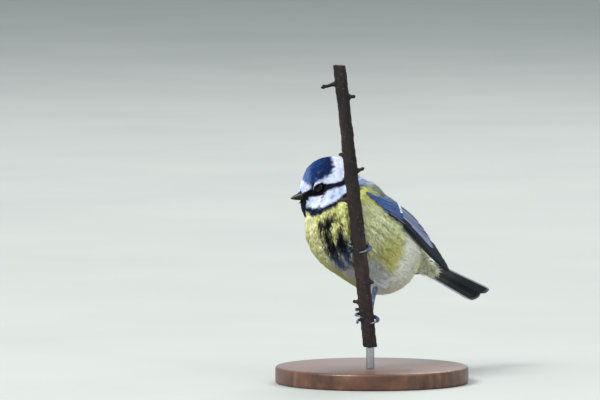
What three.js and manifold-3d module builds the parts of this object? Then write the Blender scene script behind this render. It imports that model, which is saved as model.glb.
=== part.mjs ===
// A blue tit clinging to a cut length of near-upright twig on a plain display stand.
// Millimetres, +Z up, origin at the centre of the base's underside, and the viewer looks along +Y.
import * as THREE from 'three';
import { mergeVertices } from 'three/addons/utils/BufferGeometryUtils.js';
import Module from 'manifold-3d';

const wasm = await Module();
wasm.setup();

// Driving sizes
const GAP = 0.32;                                   // left between nodes that touch
const BODY_CENTRE = new THREE.Vector3(-3.6, 15, 68.6);
const BODY_FORWARD = new THREE.Vector3(-0.663, -0.5, 0.557);
const BODY_LEFT = new THREE.Vector3(0.748, -0.433, 0.502);
const TRUNK_RADII = [31, 22.2, 22.6];               // forward, left, dorsal
const HEAD_CENTRE = [24.6, -0.6, 15.8];             // in the body's frame
const HEAD_YAW = 10;                                // degrees towards the viewer from pure profile
const HEAD_PITCH = -9;                              // bill below the horizon
const HEAD_ROLL = 15;                               // crown towards the viewer
const NECK_AXIS = new THREE.Vector3(0.84, 0, 0.543).normalize();
const NECK_FROM = 20.6;                             // from the body's centre along the neck's axis
const NECK_TO = 24.8;
const EYE_RADIUS = 2.45;
const BILL_LENGTH = 8.6;                            // from its hidden base to the tip
const TAIL_BASE = [-31.5, 0, 10.2];                  // in the body's frame
const TAIL_LENGTH = 57.5;
const TAIL_PITCH = 13.6;                            // degrees above the body's axis
const STEM_FOOT = new THREE.Vector3(-0.9, -14, 18.2);
const STEM_TOP = new THREE.Vector3(-15.6, -14, 152);
const STEM_RADIUS = 3.05;
const BASE_RADIUS = 46;
const BASE_HEIGHT = 8;
const ROD_RADIUS = 2;

const COLOURS = {
  blue: 0x3d5f9e, white: 0xe4e8f2, yellow: 0xc9c46a, slate: 0x4a5568, horn: 0x3a3f48,
  eye: 0x120d0b, leg: 0x51688f, bark: 0x3a2620, wood: 0x6a4a33, steel: 0x9a9da3,
};

const vec = (x, y, z) => new THREE.Vector3(x, y, z);
const rad = THREE.MathUtils.degToRad;
const lerp = THREE.MathUtils.lerp;

// Frames of the body and the head
const forward = BODY_FORWARD.clone().normalize();
const left = BODY_LEFT.clone().addScaledVector(forward, -BODY_LEFT.dot(forward)).normalize();
const dorsal = forward.clone().cross(left);
const bodyMatrix = new THREE.Matrix4().makeBasis(forward, left, dorsal).setPosition(BODY_CENTRE);
const worldToBody = bodyMatrix.clone().invert();

function headFrame() {
  const yaw = rad(HEAD_YAW);
  const pitch = rad(HEAD_PITCH);
  const ahead = vec(-Math.cos(yaw) * Math.cos(pitch), -Math.sin(yaw) * Math.cos(pitch), Math.sin(pitch));
  const side = vec(0, 0, 1).cross(ahead).normalize();
  const up = ahead.clone().cross(side);
  const roll = rad(HEAD_ROLL);
  const crown = up.clone().multiplyScalar(Math.cos(roll)).addScaledVector(side, Math.sin(roll));
  const cheek = crown.clone().cross(ahead);
  const centre = vec(...HEAD_CENTRE).applyMatrix4(bodyMatrix);
  const world = new THREE.Matrix4().makeBasis(ahead, cheek, crown).setPosition(centre);
  return worldToBody.clone().multiply(world);
}
const headMatrix = headFrame();
const headPoint = (x, y, z) => vec(x, y, z).applyMatrix4(headMatrix);

// Closed solids
function solidOf(geometry) {
  const plain = geometry.index ? geometry.toNonIndexed() : geometry.clone();
  const bare = new THREE.BufferGeometry().setAttribute('position', plain.getAttribute('position'));
  const merged = mergeVertices(bare, 1e-4);
  return new wasm.Manifold(new wasm.Mesh({
    numProp: 3,
    vertProperties: merged.attributes.position.array,
    triVerts: new Uint32Array(merged.index.array),
  }));
}

function geometryOf(solid) {
  const largest = solid.decompose().sort((a, b) => b.volume() - a.volume())[0];
  const { numProp, vertProperties, triVerts } = largest.getMesh();
  const positions = new Float32Array(vertProperties.length / numProp * 3);
  for (let i = 0; i * numProp < vertProperties.length; i += 1) {
    positions.set(vertProperties.subarray(i * numProp, i * numProp + 3), i * 3);
  }
  return new THREE.BufferGeometry()
    .setAttribute('position', new THREE.BufferAttribute(positions, 3))
    .setIndex(new THREE.BufferAttribute(new Uint32Array(triVerts), 1));
}

const fuse = (solids) => solids.reduce((whole, piece) => whole.add(piece));

// A closed skin through rings of points; each ring turns left-handed about the way the rings run.
// Faces of a ring's second half are split the other way, so that thin vanes have like faces.
function loft(rings) {
  const count = rings[0].length;
  const positions = rings.flat().flatMap((p) => [p.x, p.y, p.z]);
  const index = [];
  const last = (rings.length - 1) * count;
  for (let i = 0; i < rings.length - 1; i += 1) {
    for (let j = 0; j < count; j += 1) {
      const a = i * count + j;
      const b = i * count + (j + 1) % count;
      const c = a + count;
      const d = b + count;
      if (j < count / 2) index.push(a, d, c, a, b, d);
      else index.push(a, b, c, b, d, c);
    }
  }
  for (let j = 1; j < count - 1; j += 1) {
    index.push(0, j + 1, j, last, last + j, last + j + 1);
  }
  const geometry = new THREE.BufferGeometry()
    .setAttribute('position', new THREE.Float32BufferAttribute(positions, 3))
    .setIndex(index);
  const solid = solidOf(geometry);
  if (solid.volume() > 0) return solid;
  for (let i = 0; i < index.length; i += 3) [index[i + 1], index[i + 2]] = [index[i + 2], index[i + 1]];
  return solidOf(geometry.setIndex(index));
}

// A round limb along a path, with a radius at each point and an optional flattening of its height
function limb(points, radii, sides = 8, flat = 1) {
  const curve = points.map((p, i) => {
    const before = points[Math.max(0, i - 1)];
    const after = points[Math.min(points.length - 1, i + 1)];
    return after.clone().sub(before).normalize();
  });
  let across = Math.abs(curve[0].z) < 0.9 ? vec(0, 0, 1) : vec(0, 1, 0);
  return loft(points.map((p, i) => {
    const along = curve[i];
    across = across.clone().addScaledVector(along, -across.dot(along)).normalize();
    const other = along.clone().cross(across);
    return Array.from({ length: sides }, (_, j) => {
      const turn = j / sides * 2 * Math.PI;
      return p.clone()
        .addScaledVector(across, Math.cos(turn) * radii[i] * flat)
        .addScaledVector(other, Math.sin(turn) * radii[i]);
    });
  }));
}

// The soft outer form of the plumage: a smooth union of ellipsoids, in the body's frame
function ellipsoid(matrix, radii) {
  return { inverse: matrix.clone().invert(), radii };
}
const place = (x, y, z, pitch = 0) => new THREE.Matrix4()
  .makeRotationY(rad(pitch)).setPosition(x, y, z);
const inHead = (x, y, z) => headMatrix.clone().multiply(place(x, y, z));
const tailAlong = vec(-Math.cos(rad(TAIL_PITCH)), 0, Math.sin(rad(TAIL_PITCH)));
const tailUp = vec(Math.sin(rad(TAIL_PITCH)), 0, Math.cos(rad(TAIL_PITCH)));
const tailPoint = (along, side, up) => vec(...TAIL_BASE)
  .addScaledVector(tailAlong, along).addScaledVector(tailUp, up).add(vec(0, side, 0));
const covertsAt = tailPoint(4, 0, -0.6);
const MASSES = [
  ellipsoid(place(0, 0, 0), TRUNK_RADII),
  ellipsoid(place(11, 0, -4), [19.5, 19.5, 19]),
  ellipsoid(place(-12, 0, -4.5), [17, 17.5, 17.5]),
  ellipsoid(place(14, 2.6, 7), [13.5, 16.5, 14.5]),
  ellipsoid(place(covertsAt.x, 0, covertsAt.z, TAIL_PITCH), [15, 7.2, 5]),
  ellipsoid(inHead(-0.8, 0, 1.3), [13.4, 12, 12.9]),
  ellipsoid(inHead(6.6, 0, -2.4), [7.4, 6.2, 6.4]),
  ellipsoid(inHead(2.5, 0, -6.5), [9.5, 11.2, 7.5]),
  ellipsoid(inHead(5.2, 0, -9.8), [8.4, 8.2, 6.5]),
];
const BLEND = 4.2;

function depthOf(mass, point) {
  const p = point.clone().applyMatrix4(mass.inverse);
  const [rx, ry, rz] = mass.radii;
  const near = Math.hypot(p.x / rx, p.y / ry, p.z / rz);
  const slope = Math.hypot(p.x / rx ** 2, p.y / ry ** 2, p.z / rz ** 2);
  return slope < 1e-9 ? -Math.min(rx, ry, rz) : near * (near - 1) / slope;
}

function plumage(point) {
  return MASSES.map((mass) => depthOf(mass, point)).reduce((a, b) => {
    const mix = Math.max(BLEND - Math.abs(a - b), 0) / BLEND;
    return Math.min(a, b) - mix * mix * BLEND / 4;
  });
}

// How far a ray from inside the plumage runs to the level where it leaves it
function reach(from, direction, level, limit) {
  const at = (r) => plumage(from.clone().addScaledVector(direction, r)) - level;
  let out = 1;
  while (out < limit && at(out) < 0) out += 1;
  if (out >= limit) return limit;
  let low = out - 1;
  for (let i = 0; i < 12; i += 1) {
    const middle = (low + out) / 2;
    if (at(middle) < 0) low = middle;
    else out = middle;
  }
  return out;
}

// A ball wrapped on the plumage round a centre, and stopped a little past the neck's planes
function wrap(centre, axis, columns, rows, from, to, level = 0) {
  const geometry = new THREE.SphereGeometry(1, columns, rows);
  const turn = new THREE.Quaternion().setFromUnitVectors(vec(0, 1, 0), axis);
  const position = geometry.attributes.position;
  const past = 1.5;
  const height = centre.dot(NECK_AXIS);
  for (let i = 0; i < position.count; i += 1) {
    const direction = new THREE.Vector3().fromBufferAttribute(position, i).applyQuaternion(turn).normalize();
    const climb = direction.dot(NECK_AXIS);
    let limit = 90;
    if (climb > 1e-6) limit = Math.min(limit, (to + past - height) / climb);
    if (climb < -1e-6) limit = Math.min(limit, (from - past - height) / climb);
    const p = centre.clone().addScaledVector(direction, reach(centre, direction, level, limit));
    position.setXYZ(i, p.x, p.y, p.z);
  }
  return solidOf(geometry);
}

// The half of space past a plane of the neck, as a large block
function beyondNeck(height, towards) {
  const size = 160;
  const block = new THREE.BoxGeometry(size, size, size);
  block.applyQuaternion(new THREE.Quaternion().setFromUnitVectors(vec(0, 0, 1), NECK_AXIS));
  const middle = NECK_AXIS.clone().multiplyScalar(height + towards * size / 2);
  return solidOf(block.translate(middle.x, middle.y, middle.z));
}

const ball = (centre, radius, columns = 14, rows = 10) => solidOf(
  new THREE.SphereGeometry(radius, columns, rows).translate(centre.x, centre.y, centre.z),
);

// Bill, in the head's frame: two mandibles that meet along the mouth line
const BILL_BASE = [10.5, -2.65];                    // forward and up, at the mouth line
const MOUTH_GAP = 0.3;

function mandible(upper, grow = 0) {
  const stations = [0, 0.3, 0.55, 0.78, 0.94, 1];
  const depths = upper ? [2.5, 2.25, 1.8, 1.2, 0.55, 0.28] : [1.9, 1.65, 1.3, 0.85, 0.42, 0.22];
  const widths = [2.3, 2.0, 1.55, 1.05, 0.5, 0.26];
  const sign = upper ? 1 : -1;
  const length = upper ? BILL_LENGTH : BILL_LENGTH - 0.35;
  const sides = 8;
  return loft(stations.map((s, i) => Array.from({ length: sides + 1 }, (_, j) => {
    const turn = j / sides * Math.PI;
    const droop = upper ? -0.25 * s * s : -0.1 * s;
    return headPoint(
      BILL_BASE[0] + length * s + (i ? grow : -grow),
      Math.cos(turn) * (widths[i] + grow) * sign,
      BILL_BASE[1] + droop + sign * (MOUTH_GAP / 2 - grow + Math.sin(turn) * (depths[i] + grow * 2)),
    );
  })));
}

function nostril(side) {
  const at = headPoint(BILL_BASE[0] + 3.4, side * 1.75, BILL_BASE[1] + 1.35);
  return ball(at, 0.42, 8, 6);
}

// Eyes, sunk in the head, with a raised ring of lid round each
function eyeCentre(side) {
  const root = headPoint(5, 0, 3.5);
  const tip = headPoint(6.4, side * 10, 3.5);
  const direction = tip.sub(root).normalize();
  const surface = reach(root, direction, 0, 20);
  return { at: root.clone().addScaledVector(direction, surface - 1.75), direction };
}

function lid(side) {
  const { at, direction } = eyeCentre(side);
  const ring = new THREE.TorusGeometry(EYE_RADIUS - 0.2, 0.42, 6, 20);
  ring.applyQuaternion(new THREE.Quaternion().setFromUnitVectors(vec(0, 0, 1), direction));
  const middle = at.clone().addScaledVector(direction, 1.45);
  return solidOf(ring.translate(middle.x, middle.y, middle.z));
}

// Wings. A place on the folded wing has a length from the wrist, a height from its middle line and a
// lift off its surface; the line of the wing is bent round the flank.
const WING_LINES = {
  left: [[17.5, 17.8, 0.6], [2, 22.1, 0], [-14.3, 20.4, 1.2], [-33, 14.8, 5.6], [-50.6, 10.4, 7.2]],
  right: [[17.5, 17.6, 3], [2, 22, 4], [-14.3, 19.4, 7], [-33, 11, 12.4], [-50.6, 5.6, 18]],
};
const WING_LENGTH = 70;
const WING_LEAN = [-0.16, 0.2];                     // outward lean of the wing's height, at wrist and tip
const WING_CAMBER = 0.02;                           // inward bend for each square millimetre of height

function wingPoint(curve, along, height, lift) {
  const share = THREE.MathUtils.clamp(along / WING_LENGTH, 0, 1);
  const line = curve.getTangentAt(share);
  const up = vec(0.1, lerp(...WING_LEAN, share), 0.97).normalize();
  const out = line.clone().cross(up).normalize();
  if (out.y < 0) out.negate();
  return curve.getPointAt(share).addScaledVector(up, height)
    .addScaledVector(out, lift - WING_CAMBER * (1 - 0.75 * share) * height * height);
}

const VANE = 0.56;                                  // thickness of a vane

// One feather: from its root to its tip, with a narrow lower web and a wide upper web
function vane(place3, { from, to, webs, lift, tilt = 0.3, steps = [0, 0.3, 0.6, 0.82, 0.95, 1], bow = 0 }) {
  const shape = (s) => (s < 0.75 ? lerp(0.82, 1, s / 0.75) : Math.sqrt(Math.max(0.03, 1 - ((s - 0.75) / 0.262) ** 2)));
  return loft(steps.map((s) => {
    const along = lerp(from[0], to[0], s);
    const height = lerp(from[1], to[1], s) + bow * Math.sin(Math.PI * s);
    const low = height - webs[0] * shape(s);
    const high = height + webs[1] * shape(s);
    const thick = s > 0.97 ? VANE * 0.7 : VANE;
    return [
      place3(along, low, lift + tilt + thick), place3(along, low, lift + tilt),
      place3(along, high, lift - tilt), place3(along, high, lift - tilt + thick),
    ];
  }));
}

const row = (count, make) => Array.from({ length: count }, (_, i) => make(i, count > 1 ? i / (count - 1) : 0));
const SHORT = [0, 0.6, 0.9, 1];
const MIDDLING = [0, 0.5, 0.82, 0.95, 1];
const PRIMARY_TIPS = [62, 66, 69, 68.5, 66, 62.5, 59, 56];

function wingFeathers(point) {
  const primaries = row(8, (i, t) => vane(point, {
    from: [20, lerp(-5.6, -0.5, t)], to: [PRIMARY_TIPS[i], lerp(-1.4, 1.8, t)], webs: [1.5, 3.2],
    lift: lerp(0.1, 0.5, t), bow: -1.3,
  }));
  const secondaries = row(6, (i, t) => vane(point, {
    from: [14, lerp(-1.4, 1.8, t)], to: [lerp(50, 46, t), lerp(-0.4, 2.2, t)], webs: [2, 3.2],
    lift: lerp(0.75, 0.95, t), steps: MIDDLING,
  }));
  const tertials = row(3, (i, t) => vane(point, {
    from: [12, lerp(1.2, 2.8, t)], to: [lerp(44, 32, t), lerp(2.4, 3.6, t)], webs: [2.6, 2.4],
    lift: lerp(1.3, 1.9, t), steps: MIDDLING,
  }));
  const primaryCoverts = row(4, (i, t) => vane(point, {
    from: [10, lerp(-5.2, -3, t)], to: [lerp(29, 26, t), lerp(-4.6, -2.2, t)], webs: [1.1, 2.2],
    lift: lerp(0.7, 0.9, t), steps: SHORT,
  }));
  const greaterCoverts = row(7, (i, t) => vane(point, {
    from: [6.5, lerp(-4, 2.6, t)], to: [lerp(22, 18, t), lerp(-3.2, 3.2, t)], webs: [1.3, 2.2],
    lift: lerp(1.15, 2.15, t), steps: SHORT,
  }));
  const medianCoverts = row(5, (i, t) => vane(point, {
    from: [3.5, lerp(-3.2, 1.8, t)], to: [lerp(13.5, 12, t), lerp(-3.2, 2.4, t)], webs: [1.5, 2.1],
    lift: lerp(1.6, 2.4, t), steps: SHORT,
  }));
  const alula = vane(point, { from: [3.5, -4.2], to: [18, -5], webs: [1, 2], lift: 1.2, steps: SHORT });
  return [primaries, secondaries, tertials, primaryCoverts, greaterCoverts, medianCoverts, alula].flat();
}

// The wing's fleshy part, which the feathers grow from
function wingArm(point) {
  const lengths = [-2.2, 0, 4, 10, 17, 25];
  const lows = [-1.5, -3.4, -4.8, -5.6, -5.2, -3.5];
  const highs = [0.8, 2, 2.8, 3.6, 4.4, 4];
  const tops = [0.8, 1.5, 2.0, 1.9, 1.3, 0.7];
  const sides = 5;
  return loft(lengths.map((along, i) => {
    const outer = Array.from({ length: sides }, (_, j) => {
      const t = j / (sides - 1);
      const rise = 0.45 + 0.55 * Math.sin(Math.PI * (0.15 + 0.7 * t));
      return point(along, lerp(lows[i], highs[i], t), tops[i] * rise);
    });
    return [...outer, point(along, highs[i], -2.4), point(along, lows[i], -2.4)];
  }));
}

function wing(name, flank) {
  const curve = new THREE.CatmullRomCurve3(WING_LINES[name].map((p) => vec(...p)));
  const point = (along, height, lift) => {
    const p = wingPoint(curve, along, height, lift);
    if (name === 'right') p.y *= -1;
    return p;
  };
  return fuse([wingArm(point), ...wingFeathers(point)]).subtract(flank);
}

// Tail: twelve feathers, the middle pair on top, rooted in a block that the coverts clasp
function tailFeathers() {
  const half = 6;
  const feathers = [];
  for (let i = 0; i < half; i += 1) {
    const t = i / (half - 1);
    for (const side of [1, -1]) {
      const point = (along, across, up) => tailPoint(along, across * side, up);
      const tip = TAIL_LENGTH - 1.6 + 1.6 * Math.sin(Math.PI * (0.15 + 0.75 * t));
      feathers.push(vane(point, {
        from: [3, 0.5 + 2.4 * t], to: [tip, 0.9 + 4.1 * t], webs: [3.1, i < half - 1 ? 2.1 : 1.7],
        lift: 0.55 - 1.35 * t + (side > 0 ? 0.08 : 0), tilt: -0.2, steps: [0, 0.5, 0.85, 0.97, 1],
      }));
    }
  }
  return feathers;
}

function tailRoot(grow = 0) {
  const ring = (along, width, height) => [
    tailPoint(along, width + grow, height + grow), tailPoint(along, -width - grow, height + grow),
    tailPoint(along, -width - grow, -height - grow), tailPoint(along, width + grow, -height - grow),
  ];
  return loft([ring(1 - grow, 3.6, 1.1), ring(9, 4.6, 1.2), ring(16, 5.2, 0.9)]);
}

// The slot that the coverts leave round the tail's feathers
function tailSlot() {
  const ring = (along, width, low, high) => [
    tailPoint(along, width, high), tailPoint(along, -width, high),
    tailPoint(along, -width, low), tailPoint(along, width, low),
  ];
  return loft([ring(1 - GAP, 5.6, -1.5, 1.7), ring(30, 7.4, -1.5, 1.7), ring(TAIL_LENGTH + 1, 8, -1.5, 1.7)]);
}

// The twig, its spurs and its feet's places round it
const stemAxis = STEM_TOP.clone().sub(STEM_FOOT).normalize();
const stemAt = (height) => STEM_FOOT.clone()
  .addScaledVector(stemAxis, (height - STEM_FOOT.z) / stemAxis.z);

// Spurs: height, turn about the stem (0 is to the right, 90 is away from the viewer), length, lift
const SPURS = [
  [143.8, 184, 7.2, -0.25], [137, -12, 3.2, 0.05], [108.6, 200, 2.6, 0.25], [100.8, -4, 3.9, 0.4],
  [88, 190, 3.7, 0], [57.4, 176, 1.3, 0.1], [49.9, -6, 2.4, -0.2], [39.2, 178, 3.2, 0.1],
];

function stem(grow = 0) {
  const sides = 10;
  const levels = 20;
  const rings = Array.from({ length: levels + 1 }, (_, i) => {
    const height = lerp(STEM_FOOT.z, STEM_TOP.z, i / levels);
    const middle = stemAt(height);
    const knot = SPURS.reduce((sum, s) => sum + 0.15 * Math.exp(-(((height - s[0]) / 3) ** 2)), 0);
    const radius = STEM_RADIUS + 0.4 * (1 - i / levels) + knot + 0.1 * Math.sin(height * 0.9) + grow;
    return Array.from({ length: sides }, (__, j) => {
      const turn = j / sides * 2 * Math.PI;
      const r = radius * (1 + 0.025 * Math.sin(turn * 3 + height * 0.11));
      return middle.clone().add(vec(Math.cos(turn) * r, Math.sin(turn) * r, 0));
    });
  });
  const spurs = SPURS.map(([height, turn, length, rise]) => {
    const from = stemAt(height);
    const way = vec(Math.cos(rad(turn)), Math.sin(rad(turn)), rise).normalize();
    const at = (d) => from.clone().addScaledVector(way, d);
    const out = STEM_RADIUS + length;
    return limb([at(1.2), at(STEM_RADIUS + 0.6), at(out * 0.72), at(out * 0.86), at(out)],
      [1.7, 1.25, 0.85, 1.15, 0.45], 6);
  });
  return fuse([loft(rings), ...spurs]);
}

// Legs and feet, in the world's frame. turns are degrees about the stem from the side away from the viewer,
// positive to the viewer's right.
const TOE_RADIUS = 0.75;
const GRIP = 4.82;                                  // from the stem's axis to a toe's middle
const LEGS = {
  left: { heel: vec(5.6, 1.6, 60.5), grip: 66.4, turn: 42 },
  right: { heel: vec(1.6, 0.2, 45.4), grip: 32.8, hip: vec(2.6, 9.5, 54.5), turn: 20 },
};
const TOES = [
  { name: 'hallux', sweep: 95, claw: 46, drop: -1.4, rise: -0.8, thick: 1.12 },
  { name: 'inner', sweep: -108, claw: -38, drop: -1.6, rise: -1.4, thick: 0.95 },
  { name: 'middle', sweep: -128, claw: -40, drop: -0.4, rise: 1.0, thick: 1 },
  { name: 'outer', sweep: -104, claw: -36, drop: 0.4, rise: 2.9, thick: 0.92 },
];

function roundStem(turn, height, radius) {
  const a = rad(turn);
  return stemAt(height).add(vec(Math.sin(a) * radius, Math.cos(a) * radius, 0));
}

function toe(leg, { sweep, drop, rise, thick }, grow = 0) {
  const steps = 6;
  const points = [];
  const radii = [];
  for (let i = 0; i <= steps; i += 1) {
    const t = i / steps;
    const joint = Math.abs(Math.cos(t * Math.PI * 2.5));
    const height = leg.grip + rise * Math.min(1, t * 2.2) + drop * t * t;
    points.push(roundStem(leg.turn + sweep * t, height, GRIP + 0.35 * Math.sin(Math.PI * t)));
    radii.push(TOE_RADIUS * thick * (0.93 + 0.12 * joint) * (1 - 0.14 * t) + grow);
  }
  return limb(points, radii, 6);
}

function claw(leg, { sweep, claw: reachOn, drop, rise, thick }, grow = 0) {
  const steps = 4;
  const start = 3.6 * Math.sign(sweep);            // degrees that part it from its toe
  const points = [];
  const radii = [];
  for (let i = 0; i <= steps; i += 1) {
    const t = i / steps;
    const height = leg.grip + rise + drop - 0.9 * t * Math.sign(1.5 + drop);
    const radius = GRIP + 0.5 * Math.sin(Math.PI * t) - 0.75 * t * t;
    points.push(roundStem(leg.turn + sweep + start + reachOn * t, height, radius));
    radii.push(TOE_RADIUS * thick * 0.8 * (1 - 0.78 * t) + grow);
  }
  return limb(points, radii, 6);
}

function ankle(leg) {
  return roundStem(leg.turn, leg.grip + 0.5, GRIP + 0.55);
}

function foot(leg, grow = 0) {
  const pad = roundStem(leg.turn, leg.grip, GRIP + 0.15);
  return fuse([ball(pad, 1.45 + grow, 10, 8), ...TOES.map((t) => toe(leg, t, grow))]);
}

function tarsus(leg, grow = 0) {
  const from = leg.heel;
  const end = ankle(leg);
  const way = end.clone().sub(from);
  const stop = 1 - (1.5 + GAP) / way.length();
  const at = (t) => from.clone().addScaledVector(way, t * stop);
  return limb([at(0), at(0.08), at(0.3), at(0.7), at(0.92), at(1)],
    [0.95, 1.15, 0.82, 0.76, 0.95, 0.9].map((r) => r + grow), 8);
}

function thigh(leg, grow = 0) {
  const way = leg.heel.clone().sub(leg.hip);
  const stop = 1 - (GAP + 0.3) / way.length();
  const at = (t) => leg.hip.clone().addScaledVector(way, t * stop);
  return limb([at(0), at(0.35), at(0.7), at(0.9), at(1)],
    [3.6, 3.9, 2.9, 1.9, 1.2].map((r) => r + grow), 10);
}

// Stand
function standBase() {
  const edge = 1.2;
  const profile = [
    new THREE.Vector2(0, 0), new THREE.Vector2(BASE_RADIUS - 0.6, 0), new THREE.Vector2(BASE_RADIUS, 0.6),
    new THREE.Vector2(BASE_RADIUS, BASE_HEIGHT - edge), new THREE.Vector2(BASE_RADIUS - 0.35, BASE_HEIGHT - 0.35),
    new THREE.Vector2(BASE_RADIUS - edge, BASE_HEIGHT), new THREE.Vector2(0, BASE_HEIGHT),
  ];
  return solidOf(new THREE.LatheGeometry(profile, 48).rotateX(Math.PI / 2));
}

function standRod() {
  const height = STEM_FOOT.z - BASE_HEIGHT - 2 * GAP;
  const rod = new THREE.CylinderGeometry(ROD_RADIUS, ROD_RADIUS, height, 20).rotateX(Math.PI / 2);
  return solidOf(rod.translate(STEM_FOOT.x, STEM_FOOT.y, BASE_HEIGHT + GAP + height / 2));
}

// The scene graph
const part = new THREE.Group();
const bird = new THREE.Group();
bird.applyMatrix4(bodyMatrix);
part.add(bird);

function add(group, name, solid, colour, roughness = 0.8, metalness = 0) {
  const material = new THREE.MeshStandardMaterial({ color: COLOURS[colour], roughness, metalness });
  const mesh = new THREE.Mesh(geometryOf(solid), material);
  mesh.name = name;
  group.add(mesh);
}

const toBody = (solid) => solid.transform(Array.from(worldToBody.elements));
const bodyCentre = vec(0, 0, 0);
const headCentre = vec(...HEAD_CENTRE);
const mandibles = [mandible(true), mandible(false)];
const billRoom = fuse([mandible(true, GAP), mandible(false, GAP)]);
const eyeRooms = [1, -1].map((side) => ball(eyeCentre(side).at, EYE_RADIUS + GAP, 16, 10));
const headAxis = headPoint(1, 0, 0).sub(headPoint(0, 0, 0));
const skull = wrap(headCentre, headAxis, 28, 18, NECK_TO + GAP, 200)
  .subtract(beyondNeck(NECK_TO + GAP, -1));
const head = fuse([skull, lid(1), lid(-1)]).subtract(billRoom).subtract(fuse(eyeRooms));
const neck = wrap(NECK_AXIS.clone().multiplyScalar((NECK_FROM + NECK_TO) / 2), NECK_AXIS, 32, 19, NECK_FROM, NECK_TO)
  .subtract(beyondNeck(NECK_FROM, -1)).subtract(beyondNeck(NECK_TO, 1));
const legs = Object.values(LEGS);
const grasp = toBody(fuse([
  stem(GAP), thigh(LEGS.right, GAP), ...legs.map((leg) => tarsus(leg, GAP)), ...legs.map((leg) => foot(leg, GAP)),
  ...legs.flatMap((leg) => TOES.map((t) => claw(leg, t, GAP))),
]));
const torso = wrap(bodyCentre, vec(1, 0, 0), 32, 24, -200, NECK_FROM - GAP)
  .subtract(beyondNeck(NECK_FROM - GAP, 1)).subtract(tailSlot()).subtract(grasp);
const flank = fuse([
  wrap(bodyCentre, vec(1, 0, 0), 20, 16, -200, NECK_FROM - GAP, 0.5),
  wrap(NECK_AXIS.clone().multiplyScalar((NECK_FROM + NECK_TO) / 2), NECK_AXIS, 20, 10, NECK_FROM, NECK_TO, GAP),
  tailSlot(),
]);

add(bird, 'head', head, 'white');
add(bird, 'neck', neck, 'yellow');
add(bird, 'torso', torso, 'yellow');
add(bird, 'bill_upper', mandibles[0].subtract(nostril(1)).subtract(nostril(-1)), 'horn', 0.4);
add(bird, 'bill_lower', mandibles[1], 'horn', 0.4);
for (const [name, side] of [['left', 1], ['right', -1]]) {
  add(bird, `eye_${name}`, ball(eyeCentre(side).at, EYE_RADIUS, 16, 10), 'eye', 0.1);
  add(bird, `wing_${name}`, wing(name, flank), 'blue');
}
add(bird, 'tail', fuse([tailRoot(), ...tailFeathers()]), 'slate');
for (const [name, leg] of Object.entries(LEGS)) {
  if (leg.hip) add(part, `thigh_${name}`, thigh(leg), 'yellow');
  add(part, `tarsus_${name}`, tarsus(leg), 'leg', 0.5);
  add(part, `foot_${name}`, foot(leg), 'leg', 0.5);
  for (const t of TOES) add(part, `claw_${name}_${t.name}`, claw(leg, t), 'horn', 0.4);
}
add(part, 'perch_stem', stem(), 'bark', 0.9);
add(part, 'stand_base', standBase(), 'wood', 0.6);
add(part, 'stand_rod', standRod(), 'steel', 0.3, 1);

export default part;
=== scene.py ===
import bpy
import math
import numpy as np
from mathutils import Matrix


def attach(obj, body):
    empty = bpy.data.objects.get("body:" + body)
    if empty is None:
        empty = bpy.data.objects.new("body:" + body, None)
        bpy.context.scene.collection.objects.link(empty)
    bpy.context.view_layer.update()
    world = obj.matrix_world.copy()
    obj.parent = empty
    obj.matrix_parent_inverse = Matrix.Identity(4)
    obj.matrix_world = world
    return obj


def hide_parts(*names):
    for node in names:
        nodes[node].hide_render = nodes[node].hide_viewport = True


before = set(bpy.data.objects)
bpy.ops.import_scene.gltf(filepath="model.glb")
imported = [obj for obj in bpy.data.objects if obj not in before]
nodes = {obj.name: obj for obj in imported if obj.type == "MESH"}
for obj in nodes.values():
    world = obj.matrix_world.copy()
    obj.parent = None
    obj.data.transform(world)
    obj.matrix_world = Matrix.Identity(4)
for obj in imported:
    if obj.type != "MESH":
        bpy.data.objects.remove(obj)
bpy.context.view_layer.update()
mm = 0.001
rng = np.random.default_rng(11)


def unit(v):
    v = np.asarray(v, float)
    return v / np.maximum(np.linalg.norm(v, axis=-1, keepdims=True), 1e-12)


def soft(low, high, x):
    t = np.clip((x - low) / (high - low), 0, 1)
    return t * t * (3 - 2 * t)


# the bird's own frames: rows are forward, left and dorsal, in millimetres
pose = {
    "centre": np.array([-3.6, 15.0, 68.6]),
    "forward": (-0.663, -0.5, 0.557),
    "left": (0.748, -0.433, 0.502),
    "head": (24.6, -0.6, 15.8),
    "yaw": 10, "pitch": -9, "roll": 15,
    "neck": (0.84, 0.0, 0.543),
}
forward = unit(pose["forward"])
left = np.array(pose["left"])
left = unit(left - forward * (left @ forward))
bodyAxes = np.array([forward, left, np.cross(forward, left)])
yaw, pitch, roll = (math.radians(pose[k]) for k in ("yaw", "pitch", "roll"))
ahead = np.array([-math.cos(yaw) * math.cos(pitch), -math.sin(yaw) * math.cos(pitch), math.sin(pitch)])
aside = unit(np.cross([0, 0, 1], ahead))
crown = np.cross(ahead, aside) * math.cos(roll) + aside * math.sin(roll)
headAxes = np.array([ahead, np.cross(crown, ahead), crown])
headCentre = pose["centre"] + np.array(pose["head"]) @ bodyAxes
neckAxis = unit(pose["neck"])
neckUp = np.array([-neckAxis[2], 0, neckAxis[0]])


def toBody(p):
    return (p - pose["centre"]) @ bodyAxes.T


def fromBody(q):
    return np.asarray(q, float) @ bodyAxes + pose["centre"]


def toHead(p):
    return (p - headCentre) @ headAxes.T


# camera: a long lens, level with the bird and a little above it
shot = {"aim": (-34.2, 0.0, 87.1), "distance": 4000.0, "rise": 4.0, "lens": 505.0}
rise = math.radians(shot["rise"])
away = shot["distance"] * np.array([0, -math.cos(rise), math.sin(rise)])
bpy.ops.object.camera_add(location=tuple((np.array(shot["aim"]) + away) * mm),
                          rotation=(math.radians(90) - rise, 0, 0))
camera = bpy.context.object
camera.data.lens = shot["lens"]
camera.data.sensor_width = 36
camera.data.clip_end = 30
bpy.context.scene.camera = camera
print("camera ready")


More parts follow.
